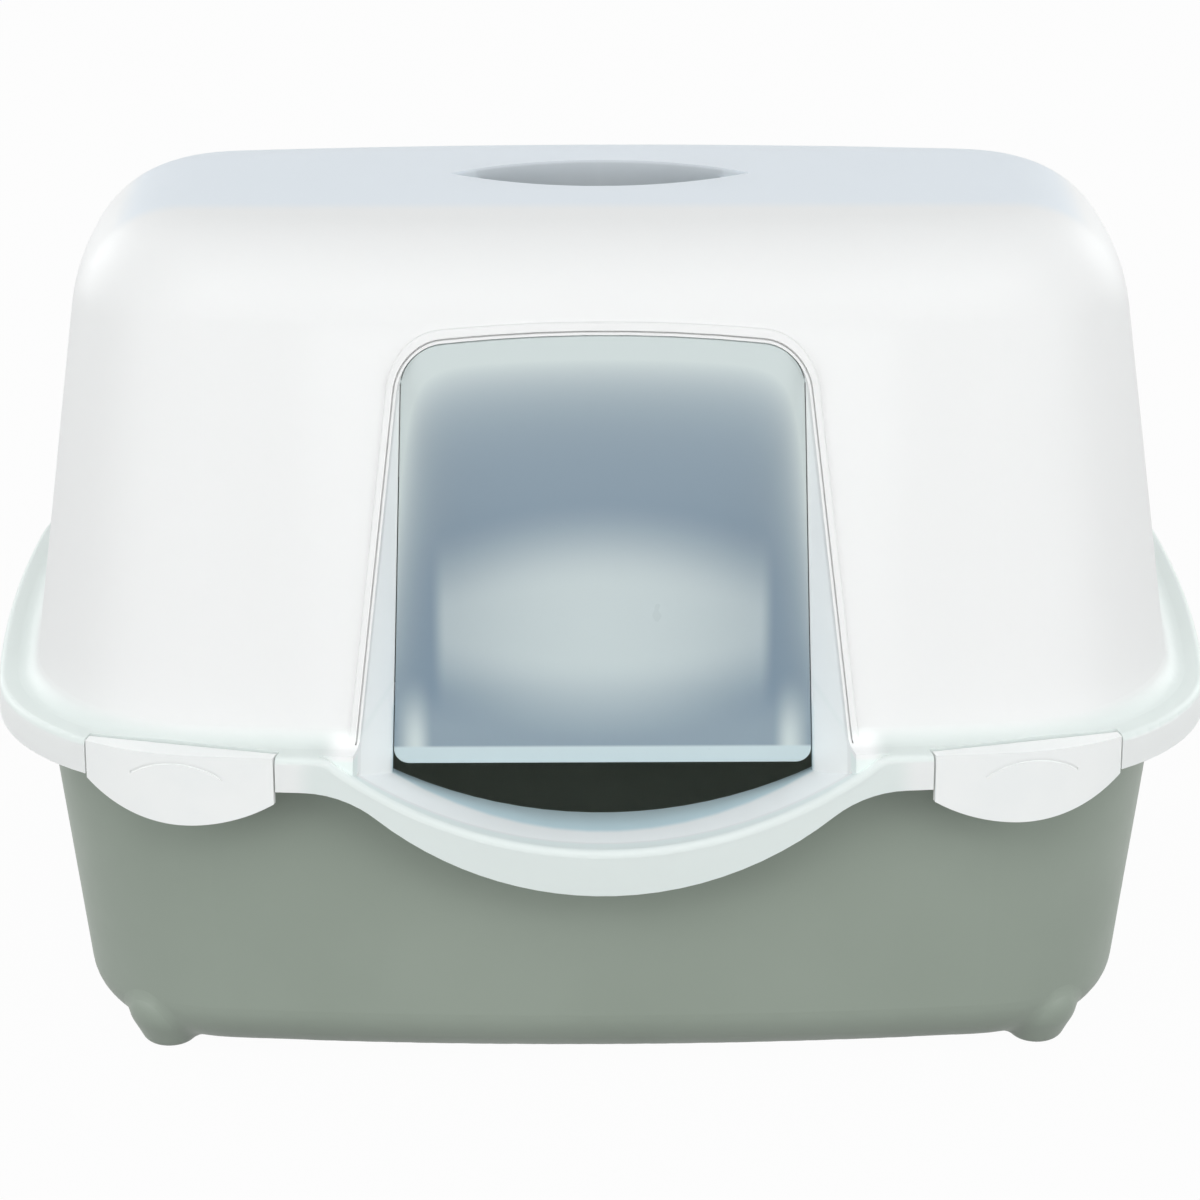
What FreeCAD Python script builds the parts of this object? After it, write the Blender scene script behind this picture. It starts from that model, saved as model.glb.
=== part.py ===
import math
import os

import FreeCAD
import Part

# Covered litter box: a pan on feet, a hood with a swing flap, and a latch on each corner.
# Millimetres, Z up, front towards -Y, origin on the floor under the middle.

# Rim: the outline that the pan, the hood and the latches follow
rim_half_width = 280.0
rim_half_depth = 200.0
rim_corner = 108.0
side_bow_deg = 5.0
front_bow_deg = 6.0
rim_level = 162.0
rim_round = 3.0
lip_drop = 16.0
flange = 2.5
wall = 2.5
overrun = 40.0
tolerance = 0.01

# Hood dome
dome_inset = 17.0
dome_rise = 204.0
dome_side_lean = 43.0
dome_front_lean = 105.0
dome_top_corner = 68.0
dome_top_round = 54.0
dome_foot_round = 10.0
foot_plate_inset = 4.5
foot_plate_depth = 12.0

# Grip opening in the roof
grip_half_length = 69.5
grip_half_width = 22.0
grip_collar = 14.0
grip_setback = 18.0
grip_hole_half_length = 57.0
grip_hole_round = 6.0
grip_ledge = 4.0

# Sill: a conical dip in the rim under the door, with its axis along Y
sill_dip = 42.0
sill_radius = 190.0
sill_slope = 0.26
sill_spare_width = 6.0
sill_floor = 4.0
sill_tail = 10.0
sill_shoulder_round = 10.0
skirt_dip_depth = 48.0
skirt_dip_radius = 157.0
skirt_shoulder_radius = 50.0

# Door flap, its hinge and its recess
hinge_rise = 146.0
flap_drop = 183.0
flap_head = 14.8
flap_crown = 6.0
flap_corner = 20.0
flap_foot_corner = 7.0
flap_half_bottom = 95.3
flap_half_top = 88.6
flap_setback = 7.7
flap_thickness = 3.0
flap_lip = 8.0
flap_lip_thickness = 6.0
flap_gap = 0.5
hinge_pin_radius = 1.4
hinge_pin_reach = 8.0
hinge_pin_root = 9.0
hinge_boss_radius = 5.0
hinge_boss_length = 4.0
running_gap = 0.05
recess_tail = 7.0
recess_splay = 0.197
frame_width = 5.0
frame_proud = 1.5
frame_round = 1.2
crease_inset = 1.0
crease_width = 0.8
crease_depth = 0.3

# Latches on the rim's corners
latch_from_side = 50.6
latch_span = 85.2
latch_hinge_inset = 4.5
latch_barrel_radius = 3.0
latch_pin_radius = 1.2
latch_pin_reach = 4.5
latch_side_gap = 0.8
latch_barrel_gap = 0.6
latch_drop = 33.5
latch_edge_radius = 75.0
latch_edge_shift = 3.0
latch_plate = 2.5
latch_ear_length = 6.0
hook_half_length = 20.0
hook_thickness = 2.7
hook_drop = 25.0
hook_side_gap = 0.4
thumb_radius = 37.0
thumb_half_span = 21.0
thumb_drop = 3.5
thumb_groove_width = 1.2
thumb_groove_depth = 0.6

# Tray
seat_gap = 0.3
tray_rim_inset = 16.0
tray_inset = 20.0
tray_side_lean = 41.0
tray_front_lean = 22.0
tray_foot_corner = 72.0
tray_base = 5.0
tray_base_round = 24.0
tab_gap = 1.0
tab_half_length = 22.0
foot_inset_x = 40.0
foot_inset_y = 37.0
foot_radius = 11.0
foot_top_radius = 30.0
foot_height = 36.0
foot_round = 6.0
foot_top_round = 17.0
foot_blend = 12.0

side_bow = math.radians(side_bow_deg)
front_bow = math.radians(front_bow_deg)
reach = rim_half_width + overrun
flange_under = rim_level - flange
dome_top = rim_level + dome_rise
dome_half_width = rim_half_width - dome_inset
dome_half_depth = rim_half_depth - dome_inset
dome_top_half_width = rim_half_width - dome_side_lean
dome_top_half_depth = rim_half_depth - dome_front_lean
dome_lean = (dome_half_depth - dome_top_half_depth) / (dome_top - flange_under)
sill_axis_level = rim_level - sill_dip + sill_radius
hinge_level = rim_level + hinge_rise
flap_bottom = hinge_level - flap_drop
flap_shoulder = hinge_level + flap_head
flap_lean = (flap_half_bottom - flap_half_top) / (flap_shoulder - flap_bottom)
flap_plane = dome_half_depth - dome_lean * (hinge_level - flange_under) - flap_setback
flap_front = flap_plane + flap_thickness / 2
recess_back = flap_plane - recess_tail
recess_low = rim_level - lip_drop - skirt_dip_depth
latch_outer_end = rim_half_width - latch_from_side
latch_inner_end = latch_outer_end - latch_span
latch_pivot_level = rim_level - latch_barrel_radius
hook_level = rim_level - hook_drop
tray_top = flange_under - seat_gap
tray_foot_half_width = rim_half_width - tray_side_lean
tray_foot_half_depth = rim_half_depth - tray_front_lean


def vec(x, y, z):
    return FreeCAD.Vector(x, y, z)


def box(x0, x1, y0, y1, z0, z1):
    return Part.makeBox(x1 - x0, y1 - y0, z1 - z0, vec(x0, y0, z0))


def bow_radii(half_width, half_depth, corner):
    """Radii of the bowed sides and fronts that run tangent into the corner arcs."""
    a, b = 1 - math.cos(side_bow), math.sin(front_bow)
    c, d = math.sin(side_bow), 1 - math.cos(front_bow)
    u, v = half_width - corner, half_depth - corner
    det = a * d - b * c
    return (u * d - b * v) / det + corner, (a * v - c * u) / det + corner


def plan(half_width, half_depth, corner, level):
    """Closed outline of eight tangent arcs at one height."""
    side, front = bow_radii(half_width, half_depth, corner)
    jx, jy = half_width - side * (1 - math.cos(side_bow)), side * math.sin(side_bow)
    kx, ky = front * math.sin(front_bow), half_depth - front * (1 - math.cos(front_bow))
    turn = (side_bow + math.pi / 2 - front_bow) / 2
    mx = jx + corner * (math.cos(turn) - math.cos(side_bow))
    my = jy + corner * (math.sin(turn) - math.sin(side_bow))
    right = [(jx, -jy), (half_width, 0), (jx, jy), (mx, my), (kx, ky), (0, half_depth)]
    left = [(-kx, ky), (-mx, my), (-jx, jy), (-half_width, 0), (-jx, -jy), (-mx, -my), (-kx, -ky)]
    ring = right + left + [(0, -half_depth), (kx, -ky), (mx, -my), (jx, -jy)]
    points = [vec(x, y, level) for x, y in ring]
    return Part.Wire([Part.Arc(*points[i:i + 3]).toShape() for i in range(0, len(points) - 1, 2)])


def rim_plan(inset, level):
    return plan(rim_half_width - inset, rim_half_depth - inset, rim_corner - inset, level)


def rim_prism(inset, low, high):
    return Part.Face(rim_plan(inset, low)).extrude(vec(0, 0, high - low))


def rim_band(outer, inner, low, high):
    """Upright band between two insets of the rim's outline."""
    return rim_prism(outer, low, high).cut(rim_prism(inner, low - overrun, high + overrun))


def rim_front(x):
    """Depth of the rim's outline at a distance x from the middle plane."""
    side, front = bow_radii(rim_half_width, rim_half_depth, rim_corner)
    if x < front * math.sin(front_bow):
        return rim_half_depth - front + math.sqrt(front ** 2 - x ** 2)
    cx = (front - rim_corner) * math.sin(front_bow)
    cy = (side - rim_corner) * math.sin(side_bow)
    return cy + math.sqrt(rim_corner ** 2 - (x - cx) ** 2)


def middle_of(edge):
    return edge.valueAt((edge.FirstParameter + edge.LastParameter) / 2)


def edges_at(shape, level):
    """Edges that lie flat at one height."""
    boxes = [(edge, edge.BoundBox) for edge in shape.Edges]
    return [e for e, b in boxes if abs(b.ZMin - level) < tolerance and abs(b.ZMax - level) < tolerance]


def outside(edges, inset):
    """Those edges whose middle lies outside an inset of the rim's outline."""
    core = rim_prism(inset, -overrun, dome_top)
    return [e for e in edges if not core.isInside(middle_of(e), tolerance, False)]


def sill_cone(extra):
    """Solid above the sill's dip, from in front of the rim to behind the flap."""
    start, stop = -rim_half_depth - overrun, -recess_back + recess_tail
    r0 = sill_radius + extra + sill_slope * (start + rim_half_depth)
    r1 = sill_radius + extra + sill_slope * (stop + rim_half_depth)
    return Part.makeCone(r0, r1, stop - start, vec(0, start, sill_axis_level), vec(0, 1, 0))


def below(level, extra):
    """Everything under a flat level with the sill's dip taken out of it."""
    return box(-reach, reach, -reach, reach, -overrun, level).cut(sill_cone(extra))


def below_skirt():
    """Everything under the skirt's lower edge, which dips at the sill."""
    low = rim_level - lip_drop
    radii = skirt_dip_radius + skirt_shoulder_radius
    turn = math.acos(1 - skirt_dip_depth / radii)
    w = radii * math.sin(turn)
    jx, jz = skirt_dip_radius * math.sin(turn), low - skirt_shoulder_radius * (1 - math.cos(turn))
    sx = w - skirt_shoulder_radius * math.sin(turn / 2)
    sz = low - skirt_shoulder_radius * (1 - math.cos(turn / 2))

    def at(x, z):
        return vec(x, -reach, z)

    def line(start, end):
        return Part.makeLine(at(*start), at(*end))

    def arc(start, middle, end):
        return Part.Arc(at(*start), at(*middle), at(*end)).toShape()

    edges = [line((-reach, low), (-w, low)), arc((-w, low), (-sx, sz), (-jx, jz))]
    edges += [arc((-jx, jz), (0, low - skirt_dip_depth), (jx, jz)), arc((jx, jz), (sx, sz), (w, low))]
    edges += [line((w, low), (reach, low)), line((reach, low), (reach, -overrun))]
    edges += [line((reach, -overrun), (-reach, -overrun)), line((-reach, -overrun), (-reach, low))]
    front = Part.Face(Part.Wire(edges)).extrude(vec(0, reach, 0))
    return front.fuse(box(-reach, reach, 0, reach, -overrun, low))


def door_outline(half_bottom, half_top, bottom, shoulder, corner, y):
    """Closed door outline with a crowned top and rounded upper corners."""
    big = (half_top ** 2 + flap_crown ** 2) / (2 * flap_crown)
    hub = vec(0, y, shoulder + flap_crown - big)
    foot = vec(half_bottom, y, bottom)
    up = (vec(half_top, y, shoulder) - foot).normalize()
    start = foot + vec(-up.z, 0, up.x) * corner - hub
    along = start.dot(up)
    rise = math.sqrt(along ** 2 - start.dot(start) + (big - corner) ** 2) - along
    centre = hub + start + up * rise
    low, high = foot + up * rise, hub + (centre - hub) * (big / (big - corner))
    bulge = centre + ((low - centre) + (high - centre)).normalize() * corner
    mirrored = [vec(-q.x, y, q.z) for q in (foot, low, bulge, high)]
    edges = [Part.makeLine(mirrored[0], foot), Part.makeLine(foot, low), Part.Arc(low, bulge, high).toShape()]
    edges += [Part.Arc(high, hub + vec(0, 0, big), mirrored[3]).toShape()]
    edges += [Part.Arc(mirrored[3], mirrored[2], mirrored[1]).toShape()]
    edges += [Part.makeLine(mirrored[1], mirrored[0])]
    return Part.Wire(edges)


def door_tunnel(grow):
    """The door recess: straight round the flap, then splayed towards the front."""
    half_low = flap_half_bottom + flap_lean * (flap_bottom - recess_low) + flap_gap + grow
    half_top = flap_half_top + flap_gap + grow
    shoulder, corner = flap_shoulder + flap_gap + grow, flap_corner + flap_gap + grow
    front = rim_half_depth + overrun
    spread = recess_splay * (front - flap_front)
    sections = ((0, recess_back), (0, flap_front), (spread, front))
    wires = [door_outline(half_low + w, half_top + w, recess_low, shoulder, corner, -y) for w, y in sections]
    return Part.makeLoft(wires, True, True)


def dome(inset):
    """Rounded hood volume, inset from the outer face by a wall thickness."""
    corner = rim_corner - dome_inset
    base = plan(dome_half_width - inset, dome_half_depth - inset, corner - inset, flange_under)
    top_sizes = dome_top_half_width - inset, dome_top_half_depth - inset, dome_top_corner - inset
    solid = Part.makeLoft([base, plan(*top_sizes, dome_top - inset)], True, True)
    return solid.makeFillet(dome_top_round - inset, edges_at(solid, dome_top - inset))


def flared_dome():
    """Hood volume with its foot blended into a plate that fills in behind the sill's shoulders."""
    plate = rim_prism(foot_plate_inset, rim_level - foot_plate_depth, rim_level)
    solid = plate.fuse(dome(0)).removeSplitter()
    plate_edges = outside(edges_at(solid, rim_level), (foot_plate_inset + dome_inset) / 2)
    outer = [e.hashCode() for e in plate_edges]
    foot = [e for e in edges_at(solid, rim_level) if e.hashCode() not in outer]
    return solid.makeFillet(dome_foot_round, foot)


def rim_block():
    """The rim's outer volume, dipped at the sill and rounded along its top edge."""
    block = rim_prism(0, recess_low - overrun, rim_level).cut(sill_cone(0))
    shoulders = [e for e in edges_at(block, rim_level) if e.BoundBox.XLength < e.BoundBox.YLength]
    shoulders = [e for e in shoulders if e.BoundBox.YMax < -recess_back + overrun]
    shoulders = [e for e in shoulders if abs(middle_of(e).x) < sill_radius]
    inner = rim_prism(rim_round, 0, dome_top)
    shoulders = [e for e in shoulders if inner.isInside(middle_of(e), tolerance, False)]
    block = block.makeFillet(sill_shoulder_round, shoulders)
    lowest = rim_level - sill_dip - rim_round
    top = [e for e in outside(block.Edges, tolerance) if e.BoundBox.ZMin > lowest]
    return block.makeFillet(rim_round, top)


def door_half(level):
    """Half width of the flap at a height."""
    return flap_half_bottom - flap_lean * (level - flap_bottom)


def hinge_rods(radius, inner, outer):
    """A pair of rods on the flap's hinge line, mirrored left and right."""
    starts = [vec(x, -flap_plane, hinge_level) for x in (inner, -outer)]
    rods = [Part.makeCylinder(radius, outer - inner, start, vec(1, 0, 0)) for start in starts]
    return rods[0].fuse(rods[1])


def jamb_half():
    """Half width of the recess at the hinge line."""
    return door_half(hinge_level) + flap_gap


def door_frame(opening):
    """Raised band round the recess's mouth, rounded along its outer edge."""
    tunnel, skin = door_tunnel(frame_width), dome(-frame_proud)
    band = tunnel.cut(opening).common(skin).cut(dome(wall))
    middles = [(e, Part.Vertex(middle_of(e))) for e in band.Edges]
    outer = [e for e, v in middles if v.distToShape(tunnel.Shells[0])[0] < tolerance]
    skins = [e.hashCode() for e, v in middles if v.distToShape(skin.Shells[0])[0] < tolerance]
    return band.makeFillet(frame_round, [e for e in outer if e.hashCode() in skins])


def crease():
    """Thin groove in the frame's face, just outside the recess's mouth."""
    band = door_tunnel(crease_inset + crease_width).cut(door_tunnel(crease_inset))
    return band.common(dome(-2 * frame_proud)).cut(dome(crease_depth)).cut(below(rim_level, 0))


def recess():
    """Jambs of the door recess, the raised frame round its mouth and the hinge bosses."""
    opening = door_tunnel(0)
    envelope = dome(0).fuse(rim_prism(dome_inset, recess_low, flange_under))
    jambs = door_tunnel(wall).cut(opening).common(envelope).cut(below(flange_under, sill_floor))
    inner = jamb_half() + wall / 2
    bosses = hinge_rods(hinge_boss_radius, inner, inner + wall / 2 + hinge_boss_length)
    return jambs.fuse([door_frame(opening), bosses.common(dome(wall / 2))])


def grip_lens(grow, low, high):
    """Lens-shaped prism of two arcs."""
    a, b = vec(-grip_half_length - grow, grip_setback, low), vec(grip_half_length + grow, grip_setback, low)
    near = Part.Arc(a, vec(0, grip_setback - grip_half_width - grow, low), b).toShape()
    far = Part.Arc(b, vec(0, grip_setback + grip_half_width + grow, low), a).toShape()
    return Part.Face(Part.Wire([near, far])).extrude(vec(0, 0, high - low))


def grip_opening():
    """Lens-shaped well in the roof, open through its middle and with a web across each pointed end."""
    low, high = dome_top - overrun, dome_top + overrun
    near, far = grip_setback - overrun, grip_setback + overrun
    span = box(-grip_hole_half_length, grip_hole_half_length, near, far, low, high)
    hole = grip_lens(0, low, high).common(span)
    ends = [e for e in hole.Edges if e.BoundBox.ZLength > overrun]
    hole = hole.makeFillet(grip_hole_round, ends)
    web_top = dome_top - grip_ledge
    return hole.fuse([grip_lens(0, web_top, high), grip_lens(0, low, web_top - wall)])


def latch_chord():
    """Chord of the front right latch: its middle, its turn about Z and its half length."""
    a = vec(latch_inner_end, -rim_front(latch_inner_end), 0)
    b = vec(latch_outer_end, -rim_front(latch_outer_end), 0)
    return (a + b) / 2, math.degrees(math.atan2(b.y - a.y, b.x - a.x)), (b - a).Length / 2


def on_chord(shape):
    """Moves a shape from the chord's frame, where -Y points outwards, to the front right corner."""
    middle, turn, _ = latch_chord()
    moved = shape.copy()
    turned = FreeCAD.Placement(middle, FreeCAD.Rotation(vec(0, 0, 1), turn))
    moved.Placement = turned.multiply(moved.Placement)
    return moved


def chord_box(half, low, high):
    return on_chord(box(-half, half, -overrun, overrun, low, high))


def chord_rod(radius, half):
    """Rod on the latch's hinge line."""
    start = vec(-half, latch_hinge_inset, latch_pivot_level)
    return on_chord(Part.makeCylinder(radius, 2 * half, start, vec(1, 0, 0)))


def chord_drum(radius, level, along=0):
    """Drum across the latch, with its axis pointing outwards."""
    return on_chord(Part.makeCylinder(radius, 2 * overrun, vec(along, -overrun, level), vec(0, 1, 0)))


def four_corners(shape):
    left = shape.mirror(vec(0, 0, 0), vec(1, 0, 0))
    rear_right, rear_left = [s.mirror(vec(0, 0, 0), vec(0, 1, 0)) for s in (shape, left)]
    return {"front_right": shape, "front_left": left, "rear_right": rear_right, "rear_left": rear_left}


def latch():
    """Front right latch: barrel, stubs, top web, curved plate, hook lip and thumb groove."""
    half = latch_chord()[2]
    body = half - latch_side_gap
    low = rim_level - latch_drop
    web = on_chord(box(-body, body, -overrun, latch_hinge_inset, flange_under, rim_level))
    web = web.common(rim_prism(0, low, rim_level))
    edge = chord_drum(latch_edge_radius, low + latch_edge_radius, -latch_edge_shift)
    field = chord_box(body, low, rim_level).common(edge)
    plate = rim_band(0, latch_plate, low, rim_level).common(field)
    lip = rim_band(latch_plate / 2, tray_rim_inset - hook_side_gap, hook_level - hook_thickness, hook_level)
    lip = lip.common(chord_box(hook_half_length, low, rim_level))
    barrel = chord_rod(latch_barrel_radius, body)
    stubs = chord_rod(latch_pin_radius, half + latch_pin_reach)
    thumb_level = rim_level - thumb_drop - thumb_radius
    inside_groove = chord_drum(thumb_radius - thumb_groove_width, thumb_level)
    groove = chord_drum(thumb_radius, thumb_level).cut(inside_groove)
    groove = groove.common(chord_box(thumb_half_span, thumb_level, rim_level))
    groove = groove.common(rim_band(0, thumb_groove_depth, low, rim_level))
    return web.fuse([plate, lip, barrel, stubs]).cut(groove).removeSplitter()


def latch_notch():
    half = latch_chord()[2]
    inner = latch_hinge_inset + latch_barrel_radius + latch_barrel_gap
    return on_chord(box(-half, half, -overrun, inner, recess_low, rim_level + overrun))


def latch_ears():
    """Blocks under the flange beside the notch that hold the latch's stubs."""
    half = latch_chord()[2]
    inner = latch_hinge_inset + latch_barrel_radius
    low = latch_pivot_level - latch_barrel_radius
    starts = (-half - latch_ear_length, half)
    ears = [on_chord(box(x, x + latch_ear_length, -overrun, inner, low, flange_under)) for x in starts]
    return ears[0].fuse(ears[1]).common(rim_prism(flange / 2, 0, rim_level))


def hood():
    """White cover: dome, flange, skirt, sill, door recess, grip opening and latch notches."""
    inner_top = rim_prism(flange, -overrun, rim_level).common(below(flange_under, sill_floor))
    sill_half = flap_half_bottom + recess_splay * (rim_half_depth - flap_front) + sill_spare_width
    sill_back = flap_plane - flap_thickness / 2 - sill_tail
    keep = box(-sill_half, sill_half, -reach, -sill_back, -overrun, rim_level)
    middle = rim_prism(dome_inset + wall, -overrun, flange_under).cut(keep)
    under = below_skirt().cut(rim_prism(flange, -overrun, rim_level).common(keep))
    shell = rim_block().fuse(flared_dome())
    shell = shell.cut(inner_top).cut(under).cut(middle).cut(dome(wall))
    shell = shell.fuse([recess(), grip_lens(wall, dome_top - grip_collar, dome_top)])
    shell = shell.cut(door_tunnel(0).cut(below(rim_level, 0))).cut(crease())
    shell = shell.cut(grip_opening())
    bore_reach = jamb_half() + wall + 2 * hinge_boss_length
    shell = shell.cut(hinge_rods(hinge_pin_radius + running_gap, 0, bore_reach))
    for notch in four_corners(latch_notch()).values():
        shell = shell.cut(notch)
    shell = shell.fuse(list(four_corners(latch_ears()).values()))
    bore = chord_rod(latch_pin_radius + running_gap, latch_chord()[2] + latch_ear_length)
    for hole in four_corners(bore).values():
        shell = shell.cut(hole)
    return shell


def flap():
    """Frosted flap: panel, thick lower lip and hinge stubs."""
    sides = flap_half_bottom, flap_half_top, flap_bottom, flap_shoulder, flap_corner
    front = -flap_front
    block = Part.Face(door_outline(*sides, front)).extrude(vec(0, flap_lip_thickness, 0))
    feet_edges = [e for e in edges_at(block, flap_bottom) if e.BoundBox.YLength > tolerance]
    block = block.makeFillet(flap_foot_corner, feet_edges)
    panel = box(-reach, reach, front, front + flap_thickness, flap_bottom, dome_top)
    lip = box(-reach, reach, front, front + flap_lip_thickness, flap_bottom, flap_bottom + flap_lip)
    edge = door_half(hinge_level)
    stubs = hinge_rods(hinge_pin_radius, edge - hinge_pin_root, edge + hinge_pin_reach)
    return block.common(panel.fuse(lip)).fuse(stubs).removeSplitter()


def pan(inset):
    """Solid pan volume with a rounded base, inset from the outer face."""
    base = tray_base + inset
    low = plan(tray_foot_half_width - inset, tray_foot_half_depth - inset, tray_foot_corner - inset, base)
    solid = Part.makeLoft([low, rim_plan(tray_inset + inset, rim_level)], True, True)
    return solid.makeFillet(tray_base_round - inset, edges_at(solid, base))


def feet():
    """Four conical feet, rounded at both ends."""
    place = vec(tray_foot_half_width - foot_inset_x, foot_inset_y - tray_foot_half_depth, 0)
    cone = Part.makeCone(foot_radius, foot_top_radius, foot_height, place)
    cone = cone.makeFillet(foot_round, edges_at(cone, 0))
    cone = cone.makeFillet(foot_top_round, edges_at(cone, foot_height))
    return list(four_corners(cone).values())


def footed(volume):
    """The pan's volume with its feet blended in."""
    cones = feet()
    body = volume.fuse(cones)
    middles = [(e, Part.Vertex(middle_of(e))) for e in body.Edges if middle_of(e).z < foot_height + overrun]
    seams = [(e, v) for e, v in middles if v.distToShape(volume.Shells[0])[0] < 2 * tolerance]
    seams = [e for e, v in seams if min(v.distToShape(c.Shells[0])[0] for c in cones) < 2 * tolerance]
    return body.makeFillet(foot_blend, seams)


def catch_tab(outer):
    """Turned-down tab under the pan's rim that a latch hooks, with a rib at each end."""
    low, top = hook_level + tab_gap, tray_top - wall / 2
    tab = rim_band(tray_rim_inset, tray_rim_inset + wall, low, top)
    tab = tab.common(chord_box(tab_half_length, low, top))
    spans = ((-tab_half_length, wall - tab_half_length), (tab_half_length - wall, tab_half_length))
    ribs = [on_chord(box(*span, -overrun, overrun, low, top)) for span in spans]
    ribs = [rib.common(rim_prism(tray_rim_inset, low, top)).cut(outer) for rib in ribs]
    return tab.fuse(ribs)


def tray():
    """Green pan: drafted walls, rounded base, rim under the hood's flange, catch tabs and feet."""
    outer, inner = pan(0), pan(wall)
    field = below(tray_top, sill_floor + seat_gap)
    rim = rim_band(tray_rim_inset, tray_inset + wall, recess_low - overrun, rim_level)
    rim = rim.common(field).cut(below(tray_top - wall, sill_floor + seat_gap + wall))
    tabs = list(four_corners(catch_tab(inner)).values())
    return footed(outer).common(field).fuse([rim] + tabs).cut(inner).removeSplitter()


def main():
    os.makedirs("parts", exist_ok=True)
    nodes = {"tray": tray(), "hood": hood(), "door_flap": flap()}
    for corner, shape in four_corners(latch()).items():
        nodes["latch_" + corner] = shape
    for name, shape in nodes.items():
        print(name, "valid", shape.isValid(), "solids", len(shape.Solids), "volume", round(shape.Volume))
        shape.exportStep("parts/" + name + ".step")


main()
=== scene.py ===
import math

import bpy
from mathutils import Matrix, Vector

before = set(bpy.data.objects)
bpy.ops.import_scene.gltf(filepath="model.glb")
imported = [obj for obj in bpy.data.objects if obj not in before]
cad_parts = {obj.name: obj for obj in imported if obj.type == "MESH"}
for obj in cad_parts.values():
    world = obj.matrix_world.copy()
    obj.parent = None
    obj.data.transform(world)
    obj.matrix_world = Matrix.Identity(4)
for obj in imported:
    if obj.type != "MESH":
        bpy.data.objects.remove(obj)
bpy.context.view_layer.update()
print("frame loaded:", ", ".join(sorted(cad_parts)))


class Wire:
    # one output socket, so that shader maths reads as plain sums
    def __init__(self, sheet, socket):
        self.sheet = sheet
        self.socket = socket

    def sum(self, operation, a, b=0.0):
        return self.sheet.add("ShaderNodeMath", {"operation": operation}, {0: a, 1: b})

    def __add__(self, other):
        return self.sum("ADD", self, other)

    def __radd__(self, other):
        return self.sum("ADD", other, self)

    def __sub__(self, other):
        return self.sum("SUBTRACT", self, other)

    def __rsub__(self, other):
        return self.sum("SUBTRACT", other, self)

    def __mul__(self, other):
        return self.sum("MULTIPLY", self, other)

    def __rmul__(self, other):
        return self.sum("MULTIPLY", other, self)

    def __abs__(self):
        return self.sum("ABSOLUTE", self)

    def least(self, other):
        return self.sum("MINIMUM", self, other)

    def most(self, other):
        return self.sum("MAXIMUM", self, other)

    def exp(self):
        return self.sum("EXPONENT", self)

    def ease(self, off, on):  # 0 at off, 1 at on, soft between
        settings = {"interpolation_type": "SMOOTHSTEP"}
        sockets = {"Value": self, "From Min": off, "From Max": on}
        return self.sheet.add("ShaderNodeMapRange", settings, sockets)


class Sheet:
    # the node sheet of one material or world
    def __init__(self, owner):
        owner.use_nodes = True
        self.tree = owner.node_tree
        self.tree.nodes.clear()

    def add(self, kind, settings=None, sockets=None, out=0):
        node = self.tree.nodes.new(kind)
        for key, value in (settings or {}).items():
            setattr(node, key, value)
        for key, value in (sockets or {}).items():
            socket = self.find(node.inputs, key)
            if isinstance(value, Wire):
                self.tree.links.new(value.socket, socket)
            else:
                socket.default_value = value
        if node.outputs:
            return Wire(self, self.find(node.outputs, out))

    @staticmethod
    def find(sockets, key):  # by its place in the list, or by its identifier or name
        if isinstance(key, int):
            return sockets[key]
        return next(s for s in sockets if s.enabled and key in (s.identifier, s.name))

    def tint(self, factor, first, second):  # colour mix
        sockets = {"Factor_Float": factor, "A_Color": first, "B_Color": second}
        return self.add("ShaderNodeMix", {"data_type": "RGBA"}, sockets, "Result_Color")

    def place(self):  # the object's own coordinates, in metres
        return self.add("ShaderNodeTexCoord", out="Object")

    def split(self, spot):
        return [self.add("ShaderNodeSeparateXYZ", None, {0: spot}, axis) for axis in "XYZ"]

    def noise(self, spot, scale, detail=2.0, roughness=0.5):
        sockets = {"Vector": spot, "Scale": scale, "Detail": detail, "Roughness": roughness}
        return self.add("ShaderNodeTexNoise", None, sockets)

    def relief(self, height, strength, distance, under=None):
        sockets = {"Height": height, "Strength": strength, "Distance": distance}
        if under:
            sockets["Normal"] = under
        return self.add("ShaderNodeBump", None, sockets)

    def seen(self):  # 1 for what the camera sees, straight, mirrored or through glass
        cameraRay = self.add("ShaderNodeLightPath", out="Is Camera Ray")
        glossRay = self.add("ShaderNodeLightPath", out="Is Glossy Ray")
        clearRay = self.add("ShaderNodeLightPath", out="Is Transmission Ray")
        return cameraRay.most(glossRay).most(clearRay)

    def finish(self, shader):
        self.add("ShaderNodeOutputMaterial", None, {"Surface": shader})


def newMaterial(name):
    material = bpy.data.materials.new(name)
    return material, Sheet(material)


def dress(node, material):
    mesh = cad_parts[node].data
    mesh.materials.clear()
    mesh.materials.append(material)


noiseMean = 0.5  # the middle of a noise texture's values

# what the moulded plastics share; a relief is its strength, and its height in metres
plasticLook = {
    "refraction": 1.49, "drift": (0.3, 0.7), "driftDetail": 3, "driftSheen": 0.06,
    "scuffFiner": 9, "scuffDetail": 4, "scuffRough": 0.65, "scuffSheen": 0.10,
    "waveRelief": (0.05, 0.0006), "grainRelief": (0.10, 0.00012),
}

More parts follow.
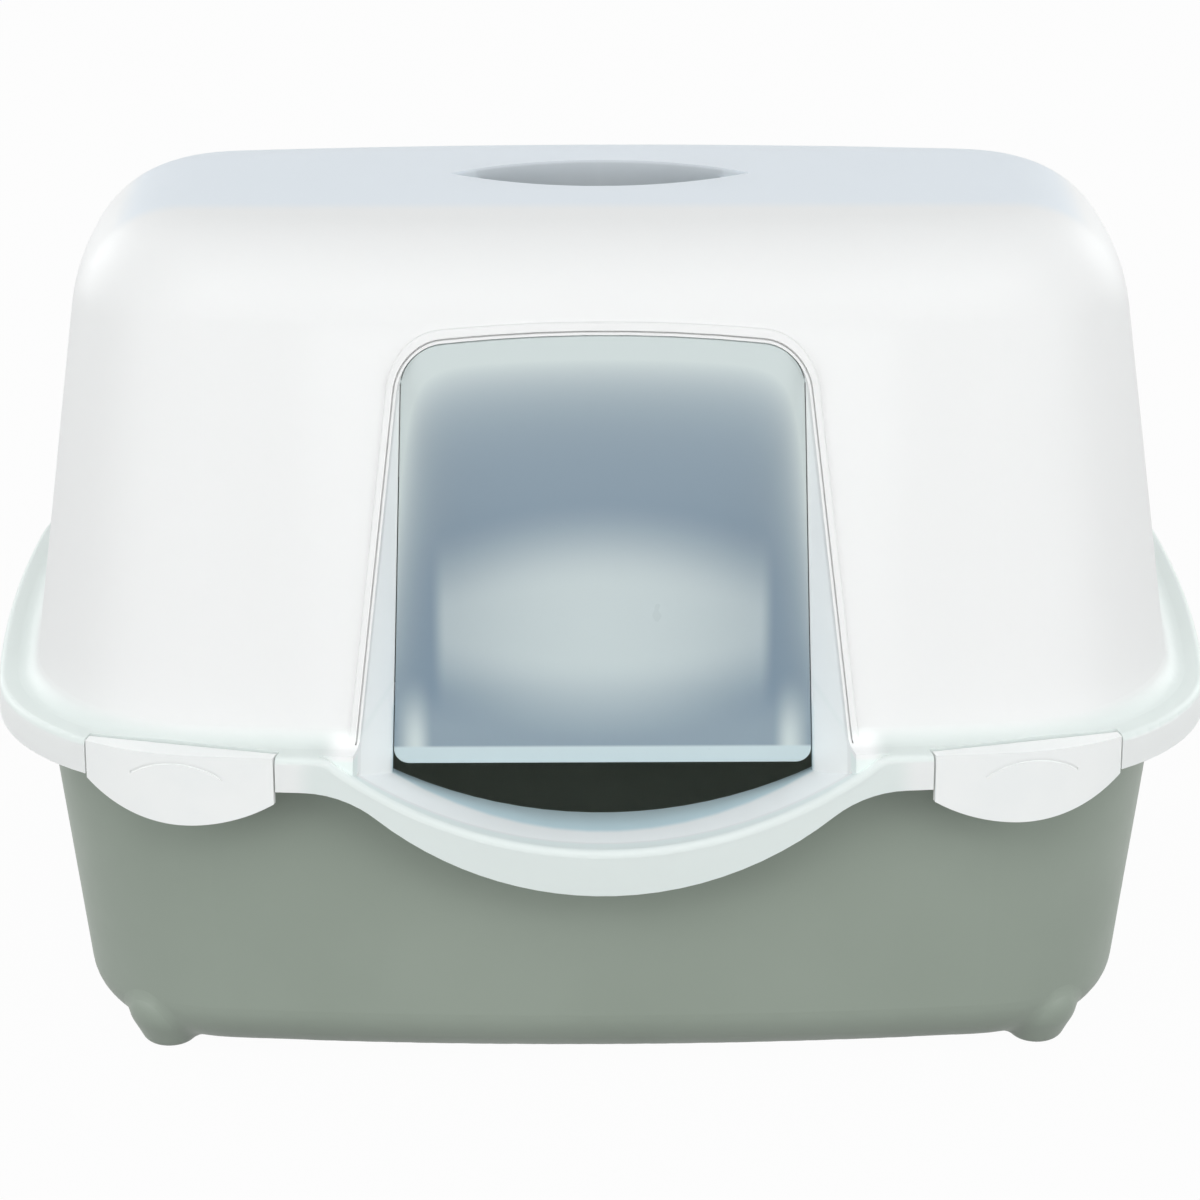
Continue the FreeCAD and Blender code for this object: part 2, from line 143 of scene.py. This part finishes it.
hoodLook = {
    **plasticLook,
    "main": (0.900, 0.905, 0.900, 1), "shade": (0.885, 0.892, 0.887, 1),
    "roughness": 0.46, "grain": 1500, "wave": 11, "through": 0.24,
    # colours of the zones: skin is the dome's own white, the others are painted light and shade
    "skin": (0.885, 0.885, 0.882, 1), "roofPaintedShade": (0.81, 0.86, 0.91, 1), "revealPaintedLight": (0.975, 0.985, 0.98, 1),
    "rim": (0.81, 0.872, 0.85, 1), "lip": (0.945, 0.955, 0.95, 1), "sill": (0.83, 0.89, 0.872, 1),
    "gripPaintedShade": (0.70, 0.75, 0.79, 1), "gripDeepPaintedShade": (0.61, 0.66, 0.70, 1), "innerPaintedShade": (0.64, 0.80, 0.855, 1),
    # the dome's front: its foot's y and z, how far it leans and bows
    "frontY": 0.183, "frontFoot": 0.1595, "frontLean": 0.426, "frontBow": 0.304,
    # the grip's middle, and the curve of the sill behind the flap
    "gripY": 0.018, "innerY": 0.150, "innerBend": 4.0,
    # where each zone ends and where it is full, in metres
    "sunk": (0.0015, 0.004), "doorSide": (0.135, 0.125),
    "doorBack": (-0.06, -0.08), "doorHead": (0.332, 0.328),
    "sillSide": (0.125, 0.115), "sillFront": (-0.197, -0.191),
    "bandSide": (0.138, 0.126), "bandBack": (-0.180, -0.186),
    "skinFoot": (0.158, 0.162), "roofFoot": (0.353, 0.362), "roofFront": (-0.044, -0.028),
    "rimTop": (0.170, 0.162), "lipTop": (0.1605, 0.1585),
    "gripSide": (0.0705, 0.0690), "gripHalf": (0.0226, 0.0218),
    "gripTop": (0.3655, 0.3640), "gripFoot": (0.33, 0.34), "throatSide": (0.0585, 0.0565),
    "innerFront": (-0.007, 0.005), "innerBack": (-0.085, -0.095),
    "innerTop": (0.158, 0.150), "innerSide": (0.112, 0.104),
}


def hoodZones(sheet, look, colour, x, y, z):  # painted light and shade on the moulding, zone by zone
    side = abs(x)
    front = (z - look["frontFoot"]).most(0.0) * look["frontLean"]
    sunk = y + look["frontY"] - front - x * x * look["frontBow"]  # depth behind the dome's front
    recess = sunk.ease(*look["sunk"]) * side.ease(*look["doorSide"])
    recess = recess * y.ease(*look["doorBack"]) * z.ease(*look["doorHead"])
    rim = z.ease(*look["rimTop"])
    lip = z.ease(*look["lipTop"])
    sill = side.ease(*look["sillSide"]) * y.ease(*look["sillFront"]) * rim
    paintedSillShade = side.ease(*look["bandSide"]) * y.ease(*look["bandBack"]) * lip
    gripPaintedShade = side.ease(*look["gripSide"]) * abs(y - look["gripY"]).ease(*look["gripHalf"])
    gripPaintedShade = gripPaintedShade * z.ease(*look["gripTop"]) * z.ease(*look["gripFoot"])
    behind = y + look["innerY"] - x * x * look["innerBend"]  # depth behind the flap, on the sill
    innerPaintedShade = behind.ease(*look["innerFront"]) * y.ease(*look["innerBack"])
    innerPaintedShade = innerPaintedShade * z.ease(*look["innerTop"]) * side.ease(*look["innerSide"])
    zones = (
        ("skin", z.ease(*look["skinFoot"]) * (1.0 - recess)),
        # painted light: the door's recess lightened against the shade it gets
        ("revealPaintedLight", recess),
        # painted shade on the roof, cooled blue
        ("roofPaintedShade", z.ease(*look["roofFoot"]) * y.ease(*look["roofFront"])),
        # painted shade on the flange, with a green cast of light thrown up from the tray
        ("rim", rim * (1.0 - sill)),
        # painted light on the lip's outer face
        ("lip", lip * (1.0 - sill)),
        # painted shade on the sill's front band
        ("sill", paintedSillShade),
        # painted shade in the grip's well
        ("gripPaintedShade", gripPaintedShade),
        # painted shade, deeper, in the grip's throat
        ("gripDeepPaintedShade", gripPaintedShade * side.ease(*look["throatSide"])),
        # painted shade, tinted blue by light through the flap, on the sill behind the flap
        ("innerPaintedShade", innerPaintedShade),
    )
    for name, mask in zones:
        colour = sheet.tint(mask, colour, look[name])
    doorway = recess.most(innerPaintedShade).most(sill)  # no light soaks through round the door
    return colour, look["through"] * (1.0 - doorway)


def makeMoulded(name, look, zones=None):  # satin moulded plastic with a fine spark-eroded grain
    material, sheet = newMaterial(name)
    spot = sheet.place()
    drift = sheet.noise(spot, look["wave"], look["driftDetail"]).ease(*look["drift"])
    grain = sheet.noise(spot, look["grain"])
    scuff = sheet.noise(spot, look["wave"] * look["scuffFiner"], look["scuffDetail"], look["scuffRough"])
    colour = sheet.tint(drift, look["main"], look["shade"])
    # for the hood, the zones paint light and shade into the colour
    if zones:
        colour, through = zones(sheet, look, colour, *sheet.split(spot))
    uneven = (drift - noiseMean) * look["driftSheen"]
    scuffed = (scuff - noiseMean) * look["scuffSheen"]
    rough = look["roughness"] + uneven + scuffed
    wavy = sheet.relief(drift, *look["waveRelief"])
    bumps = sheet.relief(grain, *look["grainRelief"], under=wavy)
    plastic = {"Base Color": colour, "Roughness": rough, "Normal": bumps, "IOR": look["refraction"]}
    shader = sheet.add("ShaderNodeBsdfPrincipled", None, plastic)
    if zones:  # some light soaks through the wall
        soak = sheet.add("ShaderNodeBsdfTranslucent", None, {"Color": look["main"]})
        shader = sheet.add("ShaderNodeMixShader", None, {0: through, 1: shader, 2: soak})
    sheet.finish(shader)
    return material


dress("hood", makeMoulded("hoodWhite", hoodLook, hoodZones))

latchLook = {
    **plasticLook,
    "main": (0.85, 0.858, 0.85, 1), "shade": (0.82, 0.835, 0.83, 1),
    "roughness": 0.36, "grain": 1700, "wave": 26,
}
latchWhite = makeMoulded("latchWhite", latchLook)
for corner in ("front_left", "front_right", "rear_left", "rear_right"):
    dress("latch_" + corner, latchWhite)

trayLook = {
    **plasticLook,
    "main": (0.278, 0.321, 0.273, 1), "shade": (0.260, 0.302, 0.255, 1),
    "roughness": 0.46, "grain": 1300, "wave": 9,
}
dress("tray", makeMoulded("traySage", trayLook))
print("moulded plastics dressed")

flapLook = {
    # deep is the sheet's blue darkened by painted shade of the dark inside behind it; pale is where painted
    # light falls
    "deep": (0.182, 0.253, 0.325, 1), "pale": (0.625, 0.69, 0.685, 1), "lip": (0.60, 0.70, 0.725, 1),
    "roughness": 0.30, "alpha": 0.95, "refraction": 1.5,
    "grain": 900, "cloud": 30, "detail": 3, "cloudSheen": 0.12, "grainRelief": (0.08, 0.0001),
    # the sheet's outline, and the soft edge of its lip
    "foot": 0.125, "head": 0.3228, "half": 0.0953, "taper": 0.0339, "crown": 0.7,
    "lipTop": 0.133, "lipSoft": 0.0008,
    # painted light at the head and the sides: strength and how fast it fades
    "headGlow": 1.2, "headFade": -64.0,
    "sideFrom": 0.165, "sideRise": 8.4, "sideLow": 0.2, "sideFade": -150.0,
    # painted light: the pale patch in the middle and the pale streaks in the lower corners
    "lightPatch": 0.8, "patchAt": 0.193, "patchBend": 2.64, "patchReach": (0.060, 0.017),
    "patchSide": (0.078, 0.0705), "patchFade": 61.0,
    "lightStreak": 0.8, "streakTop": (0.1715, 0.130), "streakIn": (0.077, 0.085), "streakOut": (0.0955, 0.085),
    # painted light: evenly pale, and more so above and below
    "base": 0.03, "upper": 0.07, "upperFrom": (0.21, 0.26), "lower": 0.17, "lowerFrom": (0.165, 0.14),
}


def makeFrosted(look):  # frosted sheet with painted light and shade: paler at its head and sides, a pale patch of painted light in the middle
    material, sheet = newMaterial("flapFrosted")
    spot = sheet.place()
    x, _, z = sheet.split(spot)
    side = abs(x)
    fromEdge = (look["half"] - (z - look["foot"]) * look["taper"] - side).most(0.0)
    fromHead = (look["head"] - x * x * look["crown"] - z).most(0.0)
    headGlow = look["headGlow"] * (fromHead * look["headFade"]).exp()
    sideGlow = ((z - look["sideFrom"]) * look["sideRise"] + look["sideLow"]).most(0.0)
    sideGlow = sideGlow * (fromEdge * look["sideFade"]).exp()
    reach = abs(z - look["patchAt"]) + x * x * look["patchBend"]
    lightPatch = look["lightPatch"] * reach.ease(*look["patchReach"]) * side.ease(*look["patchSide"])
    lightPatch = lightPatch * (1.0 - x * x * look["patchFade"])
    lightStreak = look["lightStreak"] * z.ease(*look["streakTop"])
    lightStreak = lightStreak * side.ease(*look["streakIn"]) * side.ease(*look["streakOut"])
    upper = look["upper"] * z.ease(*look["upperFrom"])
    lower = look["lower"] * z.ease(*look["lowerFrom"])
    # how much painted light falls on each spot of the sheet
    pale = (look["base"] + upper + lower + headGlow + sideGlow + lightPatch + lightStreak).least(1.0)
    colour = sheet.tint(pale, look["deep"], look["pale"])
    lip = z.ease(look["lipTop"] + look["lipSoft"], look["lipTop"] - look["lipSoft"])
    colour = sheet.tint(lip, colour, look["lip"])
    cloud = sheet.noise(spot, look["cloud"], look["detail"])
    grain = sheet.noise(spot, look["grain"], look["detail"])
    frosted = {
        "Base Color": colour,
        "Roughness": look["roughness"] + (cloud - noiseMean) * look["cloudSheen"],
        "Normal": sheet.relief(grain, *look["grainRelief"]),
        "IOR": look["refraction"],
        "Alpha": look["alpha"],
    }
    sheet.finish(sheet.add("ShaderNodeBsdfPrincipled", None, frosted))
    return material


dress("door_flap", makeFrosted(flapLook))
print("flap dressed")

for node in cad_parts.values():
    for face in node.data.polygons:
        face.use_smooth = True

plainWhite = {"Color": (1, 1, 1, 1), "Strength": 1.0}  # what the eye sees of the floor and the world
floorLook = {"half": 6.0, "colour": (0.35, 0.35, 0.35, 1), "white": 0.97}


def makeFloor(look):  # white to the eye, with a trace of the object's shadow
    half = look["half"]
    corners = [(-half, -half, 0), (half, -half, 0), (half, half, 0), (-half, half, 0)]
    mesh = bpy.data.meshes.new("studioFloor")
    mesh.from_pydata(corners, [], [(0, 1, 2, 3)])
    floor = bpy.data.objects.new("studioFloor", mesh)
    bpy.context.scene.collection.objects.link(floor)
    material, sheet = newMaterial("floorPale")
    matte = sheet.add("ShaderNodeBsdfDiffuse", None, {"Color": look["colour"]})
    glow = sheet.add("ShaderNodeEmission", None, plainWhite)
    sheet.finish(sheet.add("ShaderNodeMixShader", None, {0: sheet.seen() * look["white"], 1: matte, 2: glow}))
    mesh.materials.append(material)


makeFloor(floorLook)

worldLook = {"fill": 0.60, "tint": (0.955, 0.985, 1.0, 1)}


def makeWorld(look):  # white where it is seen, soft fill elsewhere
    world = bpy.data.worlds.new("studioWorld")
    bpy.context.scene.world = world
    sheet = Sheet(world)
    fill = sheet.add("ShaderNodeBackground", None, {"Color": look["tint"], "Strength": look["fill"]})
    white = sheet.add("ShaderNodeBackground", None, plainWhite)
    mixed = sheet.add("ShaderNodeMixShader", None, {0: sheet.seen(), 1: fill, 2: white})
    sheet.add("ShaderNodeOutputWorld", None, {"Surface": mixed})


makeWorld(worldLook)

boxAim = (0, 0, 0.2)
sideBox = {"aim": boxAim, "wide": 1.8, "tall": 1.6, "power": 24, "tint": (0.99, 1.0, 0.995)}
rearBox = {"aim": boxAim, "wide": 1.6, "tall": 1.4, "power": 24, "tint": (0.99, 1.0, 1.0)}
warmTint = (1.0, 0.995, 0.99)
lampLook = {
    "rearLeft": {"at": (-2.2, 2.1, 1.0), **rearBox},
    "rearRight": {"at": (2.2, 2.1, 1.0), **rearBox},
    "key": {
        "at": (0, -1.95, 2.5), "aim": (0, -0.05, 0.2),
        "wide": 3.6, "tall": 1.6, "power": 34, "tint": warmTint,
    },
    "front": {
        "at": (0, -2.6, 0.75), "aim": boxAim,
        "wide": 2.6, "tall": 1.0, "power": 7, "tint": warmTint,
    },
    "left": {"at": (-2.5, -1.6, 0.95), **sideBox},
    "right": {"at": (2.5, -1.6, 0.95), **sideBox},
}


def makeLamp(name, look):
    light = bpy.data.lights.new(name, "AREA")
    light.shape = "RECTANGLE"
    light.size = look["wide"]
    light.size_y = look["tall"]
    light.energy = look["power"]
    light.color = look["tint"]
    lamp = bpy.data.objects.new(name, light)
    lamp.location = look["at"]
    lamp.rotation_euler = (Vector(look["aim"]) - Vector(look["at"])).to_track_quat("-Z", "Y").to_euler()
    bpy.context.scene.collection.objects.link(lamp)


for name, look in lampLook.items():
    makeLamp(name + "Softbox", look)
print("studio lit")

cameraLook = {"at": (-0.02, -2.0, 0.94), "pitch": 21.3, "turn": -0.57, "lens": 135.0, "sensor": 36.0}
camera = bpy.data.objects.new("photoCamera", bpy.data.cameras.new("photoCamera"))
camera.location = cameraLook["at"]
camera.rotation_euler = (math.radians(90 - cameraLook["pitch"]), 0, math.radians(cameraLook["turn"]))
camera.data.lens = cameraLook["lens"]
camera.data.sensor_width = cameraLook["sensor"]
bpy.context.scene.collection.objects.link(camera)
bpy.context.scene.camera = camera
bpy.context.scene.view_settings.view_transform = "Standard"
